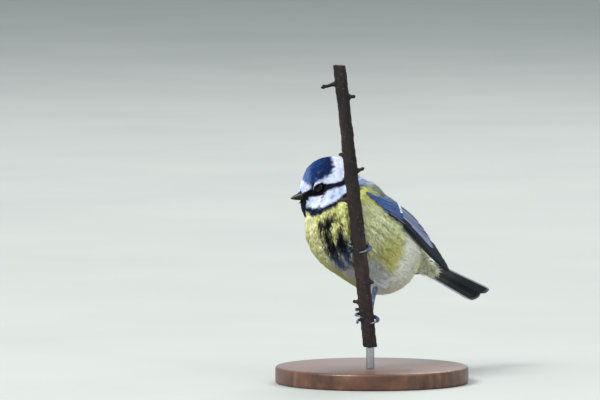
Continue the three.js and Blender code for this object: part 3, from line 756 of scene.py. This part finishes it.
# a wing lies along a curve over the body's side, given in the body's frame
wing = {
    "left": [[17.5, 17.8, 0.6], [2, 22.1, 0], [-14.3, 20.4, 1.2], [-33, 14.8, 5.6], [-50.6, 10.4, 7.2]],
    "right": [[17.5, 17.6, 3], [2, 22, 4], [-14.3, 19.4, 7], [-33, 11, 12.4], [-50.6, 5.6, 18]],
    "length": 70, "lean": (-0.16, 0.2), "camber": 0.02, "flatten": 0.75,
    "tips": (62, 66, 69, 68.5, 66, 62.5, 59, 56), "scales": 90,
}
wingCurves = {name: Curve(wing[name]) for name in ("left", "right")}


def wingPlace(name):
    curve = wingCurves[name]

    def place(along, height, lift):
        share = np.clip(along / wing["length"], 0, 1)
        line = curve.tangent(share)
        lean = wing["lean"][0] + (wing["lean"][1] - wing["lean"][0]) * share
        up = unit(np.stack([np.full_like(share, 0.1), lean, np.full_like(share, 0.97)], -1))
        out = unit(np.cross(line, up))
        out = out * np.where(out[..., 1:2] < 0, -1, 1)
        drop = wing["camber"] * (1 - wing["flatten"] * share) * height ** 2
        before = np.minimum(along, 0)
        q = curve.at(share) + line * before[..., None] + up * height[..., None]
        q = q + out * (lift - drop)[..., None]
        if name == "right":
            q[..., 1] *= -1
        return fromBody(q)
    return place


tail = {"base": np.array([-31.5, 0, 10.2]), "pitch": 13.6, "length": 57.5, "feathers": 6}
tailPitch = math.radians(tail["pitch"])
tailAlong = np.array([-math.cos(tailPitch), 0, math.sin(tailPitch)])
tailUp = np.array([math.sin(tailPitch), 0, math.cos(tailPitch)])


def tailPlace(side):
    def place(along, height, lift):
        q = tail["base"] + along[..., None] * tailAlong + lift[..., None] * tailUp
        q[..., 1] += height * side
        return fromBody(q)
    return place


blade = {
    "rows": 26, "columns": 9, "foot": 0.82, "frayed": 0.06, "lift": 0.28, "arch": 0.16, "rachis": 0.1,
    # underside darkens the lower sheet of each vane: painted shade
    "rachisWidth": 0.14, "underside": 0.8,
}


# each blade runs from start to end, given as along and height; webs are its half widths below and above
class Blades:
    def __init__(self):
        self.points, self.colours, self.uvs, self.faces, self.count = [], [], [], [], 0

    def add(self, place, start, end, webs, lift, look,
            tilt=0.3, bow=0.0, rounding=0.75, thick=0.2, taper=0.0):
        rows, columns = blade["rows"], blade["columns"]
        s = np.linspace(0, 1, rows)[:, None]
        w = np.linspace(-1, 1, columns)[None, :]
        pastRounding = (s - rounding) / (1.005 - rounding)
        shape = np.where(s < rounding, blade["foot"] + (1 - blade["foot"]) * s / rounding,
                         np.sqrt(np.clip(1 - pastRounding ** 2, 0.004, 1)))
        if taper:
            shape = shape * np.clip(s / taper, 0.02, 1) ** 0.6
        notch = 1 - blade["frayed"] * np.clip(rng.normal(0, 1, (rows, 1)), 0, 2) * (np.abs(w) > 0.9)
        along = start[0] + (end[0] - start[0]) * s + 0 * w
        height = start[1] + (end[1] - start[1]) * s + bow * np.sin(math.pi * s)
        height = height + np.where(w < 0, w * webs[0], w * webs[1]) * shape * notch
        level = lift + blade["lift"] - tilt * w + blade["arch"] * (1 - w ** 2)
        level = level + blade["rachis"] * np.exp(-(w / blade["rachisWidth"]) ** 2)
        height, level, along = np.broadcast_arrays(height, level, along)
        top = place(along, height, level)
        low = place(along, height, level - thick)
        self.addFaces(rows, columns)
        span = abs(end[0] - start[0]) / 10
        shades = look(s + 0 * w, w + 0 * s)
        # the lower sheet takes the same colours darkened by underside: painted shade on the vanes'
        # undersides
        for face, dim in ((top, 1.0), (low, blade["underside"])):
            self.points.append(face.reshape(-1, 3))
            self.colours.append(np.clip(shades.reshape(-1, 3) * dim, 0, 1))
            self.uvs.append(np.stack([w + 0 * s, s * span + 0 * w], -1).reshape(-1, 2))
        self.count += 2 * rows * columns

    # upper sheet, lower sheet turned over, and the rim between them
    def addFaces(self, rows, columns):
        total = rows * columns
        base = self.count
        grid = np.arange(total).reshape(rows, columns)
        for layer, flip in ((0, False), (total, True)):
            for i in range(rows - 1):
                for j in range(columns - 1):
                    q = [grid[i, j], grid[i + 1, j], grid[i + 1, j + 1], grid[i, j + 1]]
                    self.faces.append([int(base + layer + v) for v in (q[::-1] if flip else q)])
        rim = list(grid[0, :]) + list(grid[1:, -1]) + list(grid[-1, -2::-1]) + list(grid[-2:0:-1, 0])
        for a, b in zip(rim, rim[1:] + rim[:1]):
            self.faces.append([int(base + a), int(base + b), int(base + total + b), int(base + total + a)])

    def build(self, name, material, slot, *replaced):
        obj = meshFrom(name, np.vstack(self.points), self.faces, material,
                       np.vstack(self.colours), np.vstack(self.uvs))
        settle(obj, slot, *replaced)
        print(name, len(self.faces) * 2)
        return obj


# vane material: fine slanting barbs and a darker rachis over the blade's own colour
vane = Paint("vanes", {"Roughness": 0.6, "Specular IOR Level": 0.22})
vaneUv = vane.add("ShaderNodeUVMap", {"uv_map": "vane"})
split = vane.add("ShaderNodeSeparateXYZ", None, {0: vane.wire(vaneUv)})
acrossWeb, alongWeb = vane.wire(split, 0), vane.wire(split, 1)
offRachis = vane.wire(vane.add("ShaderNodeMath", {"operation": "ABSOLUTE"}, {0: acrossWeb}))
barbWave = alongWeb * 170.0 - offRachis * 26.0
barbLine = vane.wire(vane.add("ShaderNodeMath", {"operation": "SINE"}, {0: barbWave}))
rachis = vane.ramp(offRachis, [(0.0, (1, 1, 1, 1)), (0.07, (0, 0, 0, 1))])
vaneColour = vane.attribute("plume", "Color")
fine = vane.noise(vane.place(), 900.0, 3.0)
lines = vane.mix(0.82 + barbLine * 0.1 + fine * 0.12, (0, 0, 0, 1), vaneColour)
vane.feed("Base Color", vane.mix(rachis, lines, vane.mix(0.45, lines, shade(20, 22, 30))))
vane.feed("Roughness", 0.52 + fine * 0.25)
vane.bump(barbLine * 0.5 + offRachis * 0.2, 0.35, 0.0001)

# dark is near black: the flight feathers' own blackish colour, darkened further as painted shade
wingInk = {
    "blue": srgb(36, 62, 112), "bluePale": srgb(88, 118, 168), "slate": srgb(56, 64, 90),
    "dark": srgb(7, 7, 11), "fringe": srgb(146, 158, 186), "white": srgb(238, 240, 246),
    "green": srgb(120, 134, 132), "tailDark": srgb(38, 42, 50), "tailBlue": srgb(92, 118, 168),
    "tailPale": srgb(128, 134, 144),
}


def tint(colour, name, share):
    return colour + (np.asarray(wingInk[name]) - colour) * share[..., None]


def feather(body, edge, tip, edgeWidth=0.3, tipStart=0.94, inner="dark", innerMix=0.8):
    def look(s, w):
        colour = np.asarray(wingInk[body]) * (0.92 + 0.16 * rng.random()) + 0 * s[..., None]
        colour = tint(colour, inner, soft(0.0, 0.5, w) * innerMix)
        colour = tint(colour, edge, soft(-1 + edgeWidth, -1 + edgeWidth * 0.5, w))
        return tint(colour, tip, soft(tipStart, min(0.995, tipStart + 0.05), s))
    return look


def shares(count):
    return [(i, i / (count - 1)) for i in range(count)]


def mid(a, b, t):
    return a + (b - a) * t


def addFlightFeathers(blades, place):
    for i, t in shares(len(wing["tips"])):
        blades.add(place, (20, mid(-5.6, -0.5, t)), (wing["tips"][i], mid(-2.6, 1.4, t)), (1.9, 3.2),
                   mid(0.1, 0.5, t), feather("dark", "slate" if i > 3 else "dark", "dark", 0.12, 0.985),
                   bow=-1.5, rounding=0.86)
    for i, t in shares(6):
        inner = "fringe" if i == 5 else "dark"
        blades.add(place, (14, mid(-1.4, 1.8, t)), (mid(50, 46, t), mid(-0.4, 2.2, t)), (2, 3.2),
                   mid(0.75, 0.95, t), feather("slate", "fringe", "fringe", 0.5, 0.965, inner, 0.7))
    for i, t in shares(3):
        blades.add(place, (12, mid(1.2, 2.8, t)), (mid(44, 32, t), mid(2.4, 3.6, t)), (2.6, 2.4),
                   mid(1.3, 1.9, t), feather("slate", "fringe", "white", 0.4, 0.95, "fringe", 0.5))


# the great coverts have the white tips of the wing bar
def addCoverts(blades, place):
    for i, t in shares(4):
        blades.add(place, (10, mid(-5.2, -3, t)), (mid(29, 26, t), mid(-4.6, -2.2, t)), (1.1, 2.2),
                   mid(0.7, 0.9, t), feather("dark", "slate", "dark", 0.3, 0.97))
    for i, t in shares(7):
        tip = "white" if i > 2 else "blue"
        blades.add(place, (6.5, mid(-4, 2.6, t)), (mid(19, 17, t), mid(-3.0, 3.2, t)), (1.3, 2.2),
                   mid(1.15, 2.15, t), feather("blue", "bluePale", tip, 0.4, 0.84, "dark", 0.3),
                   rounding=0.85)
    for i, t in shares(5):
        blades.add(place, (4.5, mid(-2.2, 1.6, t)), (mid(13.5, 12, t), mid(-3.2, 2.4, t)), (1.5, 2.1),
                   mid(1.6, 2.4, t), feather("blue", "bluePale", "blue", 0.35, 0.97, "blue", 0.4))
    blades.add(place, (8, -4.0), (20, -5), (1, 2), 1.2, feather("dark", "fringe", "dark", 0.25, 0.98))
    for i in range(wing["scales"]):
        along = rng.uniform(0, 10.5)
        height = rng.uniform(-3.8, 2.8) * min(1, 0.15 + along / 7) + 0.5
        edge = "bluePale" if height < 1.4 else "green"
        blades.add(place, (along - 2.2, height), (along + 3.4, height + rng.normal(0, 0.3)), (1.0, 1.0),
                   1.9 + rng.uniform(-0.2, 0.35) - 0.12 * max(0, -along),
                   feather("green" if height > 1.6 else "blue", edge, edge, 0.3, 0.9, "blue", 0.3),
                   rounding=0.4, tilt=0.1, thick=0.1)


for name in ("left", "right"):
    place = wingPlace(name)
    blades = Blades()
    addFlightFeathers(blades, place)
    addCoverts(blades, place)
    blades.build(f"wing_vanes_{name}", vane.material, "plumage_blue", f"wing_{name}")
    arm = Blades()
    arm.add(place, (-1.5, 0.6), (18, -0.6), (4.2, 4.2), 0.7,
            feather("blue", "blue", "slate", 0.3, 0.95, "blue", 0.3),
            tilt=-0.1, rounding=0.9, thick=1.6, taper=0.5)
    arm.build(f"wing_arm_{name}", vane.material, "plumage_blue")


# tail: the outermost feather of each side has a white web
def tailLook(outer):
    def look(s, w):
        colour = np.asarray(wingInk["tailDark"]) * (0.9 + 0.2 * rng.random()) + 0 * s[..., None]
        colour = tint(colour, "tailPale", soft(0.75, 0.2, s) * 0.45)
        rim = soft(0.25, 0.6, w) if outer else soft(0.8, 1.0, w) * 0.5
        colour = tint(colour, "white" if outer else "tailBlue", rim)
        return tint(colour, "fringe", soft(0.975, 0.995, s) * 0.8)
    return look


blades = Blades()
for i, t in shares(tail["feathers"]):
    outer = i == tail["feathers"] - 1
    tip = tail["length"] - 1.6 + 1.6 * math.sin(math.pi * (0.15 + 0.75 * t))
    for side in (1, -1):
        overlap = 0.08 if side > 0 else 0
        blades.add(tailPlace(side), (3, 0.5 + 2.4 * t), (tip, 0.9 + 4.1 * t), (3.1, 1.7 if outer else 2.1),
                   0.55 - 1.35 * t + overlap, tailLook(outer), tilt=-0.2, rounding=0.9, thick=0.2)
blades.build("tail_vanes", vane.material, "plumage_slate", "tail")

# bill
bill = {"voxel": 0.16, "rounds": 3}
horn = Paint("horn", {"Roughness": 0.4, "Specular IOR Level": 0.35})
hornGrain = horn.noise(horn.stretch(horn.place(), (1.0, 4.0, 4.0)), 700.0, 4.0)
horn.feed("Base Color", horn.ramp(hornGrain, [(0.42, shade(7, 7, 10)), (0.64, shade(22, 24, 32)),
                                              (0.85, shade(76, 82, 98))]))
horn.feed("Roughness", 0.28 + hornGrain * 0.2)
horn.bump(hornGrain, 0.2, 0.0001)
for name in ("bill_upper", "bill_lower"):
    settle(softened(name + "_horn", horn.material, bill["voxel"], bill["rounds"], name), "bill_horn", name)

# eyes
eyeBall = {"radius": 2.58, "segments": 48, "rings": 32}
eyeLook = Paint("eye", {"Roughness": 0.05, "Specular IOR Level": 0.3})
iris = eyeLook.noise(eyeLook.place(), 800.0, 3.0)
eyeLook.feed("Base Color", eyeLook.ramp(iris, [(0.35, shade(3, 3, 3)), (0.7, shade(14, 9, 7))]))
for name in ("eye_left", "eye_right"):
    points = pointsOf(nodes[name])
    bpy.ops.mesh.primitive_uv_sphere_add(segments=eyeBall["segments"], ring_count=eyeBall["rings"],
                                         radius=eyeBall["radius"] * mm)
    eye = bpy.context.object
    eye.name = name + "_ball"
    bpy.ops.object.mode_set(mode="EDIT")
    bpy.ops.transform.translate(value=tuple((points.max(0) + points.min(0)) / 2 * mm))
    bpy.ops.object.mode_set(mode="OBJECT")
    eye.data.materials.append(eyeLook.material)
    eye.data.shade_smooth()
    settle(eye, "eye", name)

# legs, scaled, with toes round the twig
leg = {"voxel": 0.15, "rounds": 3, "grow": 0.2, "draw": 0.03}
scale = Paint("scales", {"Roughness": 0.36, "Specular IOR Level": 0.7})
where = scale.place()
scutePlace = scale.stretch(where, (0.8, 0.8, 1.8))
scutes = scale.wire(scale.add("ShaderNodeTexVoronoi", None, {"Vector": scutePlace, "Scale": 700.0}))
tone = scale.noise(where, 260.0, 3.0)
scale.feed("Base Color", scale.ramp(tone + scutes * 0.25, [
    (0.35, shade(17, 23, 42)), (0.62, shade(38, 50, 84)), (0.95, shade(136, 152, 192))]))
scale.feed("Roughness", 0.3 + tone * 0.25)
scale.bump(scutes, 0.45, 0.0002)
for side in ("left", "right"):
    shank = softened(f"leg_{side}", scale.material, leg["voxel"], leg["rounds"],
                     f"tarsus_{side}", f"foot_{side}", grow=leg["grow"])
    movePoints(shank, pointsOf(shank) - leg["draw"] * normalsOf(shank))
    settle(shank, "leg_scales", f"tarsus_{side}", f"foot_{side}")

# claws
clawShape = {"voxel": 0.12, "rounds": 3}
claw = Paint("claw", {"Roughness": 0.3, "Specular IOR Level": 0.55})
clawNoise = claw.noise(claw.place(), 500.0, 3.0)
claw.feed("Base Color", claw.ramp(clawNoise, [(0.35, shade(44, 48, 60)), (0.7, shade(112, 120, 142))]))
claw.feed("Roughness", 0.25 + clawNoise * 0.2)
for side in ("left", "right"):
    for toe in ("hallux", "inner", "middle", "outer"):
        node = f"claw_{side}_{toe}"
        horny = softened(node + "_horn", claw.material, clawShape["voxel"], clawShape["rounds"], node)
        settle(horny, "claw_horn", node)
print("bill, eyes and legs")

# twig: dark bark with pale pores, a little uneven
twigShape = {"voxel": 0.4, "rounds": 6, "knots": 0.16, "knotScale": 1.3, "ridges": 0.12, "ridgeScale": 2.6}
bark = Paint("bark", {"Roughness": 0.8, "Specular IOR Level": 0.3})
where = bark.stretch(bark.place(), (1.0, 1.0, 0.35))
broad = bark.noise(where, 90.0, 4.0, 0.6)
fineBark = bark.noise(where, 520.0, 5.0, 0.7)
colour = bark.ramp(broad, [(0.34, shade(12, 8, 8)), (0.5, shade(30, 19, 17)), (0.64, shade(56, 38, 33)),
                           (0.82, shade(112, 88, 82))])
porePlace = bark.stretch(bark.place(), (1, 1, 1.6))
cells = bark.wire(bark.add("ShaderNodeTexVoronoi", None, {"Vector": porePlace, "Scale": 340.0}))
pores = bark.ramp(cells, [(0.1, (1, 1, 1, 1)), (0.2, (0, 0, 0, 1))])
colour = bark.mix(pores * fineBark, colour, bark.mix(0.5, colour, shade(132, 108, 100)))
cracks = bark.ramp(fineBark, [(0.35, (1, 1, 1, 1)), (0.55, (0, 0, 0, 1))])
bark.feed("Base Color", bark.mix(cracks, colour, bark.mix(0.6, colour, shade(12, 7, 7))))
bark.feed("Roughness", 0.6 + fineBark * 0.3)
bark.bump(fineBark + broad * 0.8 + pores * 0.4, 0.7, 0.0006)
twig = softened("twig_bark", bark.material, twigShape["voxel"], twigShape["rounds"], "perch_stem")
points = pointsOf(twig)
knots = twigShape["knots"] * waves(points * np.array([1, 1, 0.4]), twigShape["knotScale"], 31)
ridges = twigShape["ridges"] * waves(points, twigShape["ridgeScale"], 33)
movePoints(twig, points + normalsOf(twig) * (knots + ridges)[:, None])
settle(twig, "bark", "perch_stem")

# stand
stand = {"radius": 46, "height": 8, "edge": 1.2}
walnut = Paint("walnut", {"Roughness": 0.42, "Specular IOR Level": 0.45, "Coat Weight": 0.15})
rings = walnut.noise(walnut.stretch(walnut.place(), (1.0, 9.0, 3.0)), 34.0, 5.0, 0.6)
walnut.feed("Base Color", walnut.ramp(rings, [(0.3, shade(52, 32, 22)), (0.55, shade(88, 56, 38)),
                                              (0.75, shade(118, 80, 54))]))
walnut.feed("Roughness", 0.34 + rings * 0.2)
walnut.bump(rings, 0.12, 0.0003)
bpy.ops.mesh.primitive_cylinder_add(vertices=128, radius=stand["radius"] * mm, depth=stand["height"] * mm)
base = bpy.context.object
base.name = "base_disc"
bpy.ops.object.mode_set(mode="EDIT")
bpy.ops.transform.translate(value=(0, 0, stand["height"] / 2 * mm))
bpy.ops.object.mode_set(mode="OBJECT")
modify(base, "BEVEL", width=stand["edge"] * mm, segments=5, limit_method="ANGLE", angle_limit=0.9)
base.data.materials.append(walnut.material)
base.data.shade_smooth()
base.data.set_sharp_from_angle(angle=0.6)
settle(base, "base_wood", "stand_base")
steel = Paint("steel", {"Roughness": 0.28, "Metallic": 1.0})
brushed = steel.noise(steel.stretch(steel.place(), (1, 1, 30)), 900.0, 2.0)
steel.feed("Base Color", steel.ramp(brushed, [(0.3, shade(140, 143, 148)), (0.7, shade(196, 198, 202))]))
steel.feed("Roughness", 0.22 + brushed * 0.16)
nodes["stand_rod"].data.materials.clear()
nodes["stand_rod"].data.materials.append(steel.material)
print("twig and stand")

# floor and light
studio = {
    "floor": 30, "sky": (0.82, 0.88, 0.95, 1), "skyStrength": 0.8,
    "lamps": (
        {"place": (-1.5, -1.6, 2.3), "turn": (42, 0, -42), "size": 1.3, "power": 150.0,
         "tint": (1.0, 0.985, 0.96)},
        {"place": (1.7, -1.2, 1.6), "turn": (50, 0, 58), "size": 1.8, "power": 26.0,
         "tint": (0.95, 0.975, 1.0)},
        {"place": (0.5, 1.9, 2.0), "turn": (-46, 0, -14), "size": 1.3, "power": 46.0,
         "tint": (1.0, 1.0, 1.0)},
    ),
}
paper = Paint("paper", {"Roughness": 0.9})
paperNoise = paper.noise(paper.place(), 6.0, 2.0)
paper.feed("Base Color", paper.ramp(paperNoise, [(0.3, shade(150, 154, 150)), (0.7, shade(155, 159, 154))]))
bpy.ops.mesh.primitive_plane_add(size=studio["floor"])
floor = bpy.context.object
floor.name = "floor"
floor.data.materials.append(paper.material)
world = bpy.context.scene.world or bpy.data.worlds.new("studio")
bpy.context.scene.world = world
world.use_nodes = True
sky = world.node_tree.nodes["Background"]
sky.inputs["Color"].default_value = studio["sky"]
sky.inputs["Strength"].default_value = studio["skyStrength"]
for light in studio["lamps"]:
    turn = tuple(math.radians(v) for v in light["turn"])
    bpy.ops.object.light_add(type="AREA", location=light["place"], rotation=turn)
    lamp = bpy.context.object
    lamp.data.size = light["size"]
    lamp.data.energy = light["power"]
    lamp.data.color = light["tint"]
bpy.context.scene.view_settings.view_transform = "Standard"
print("stage ready")
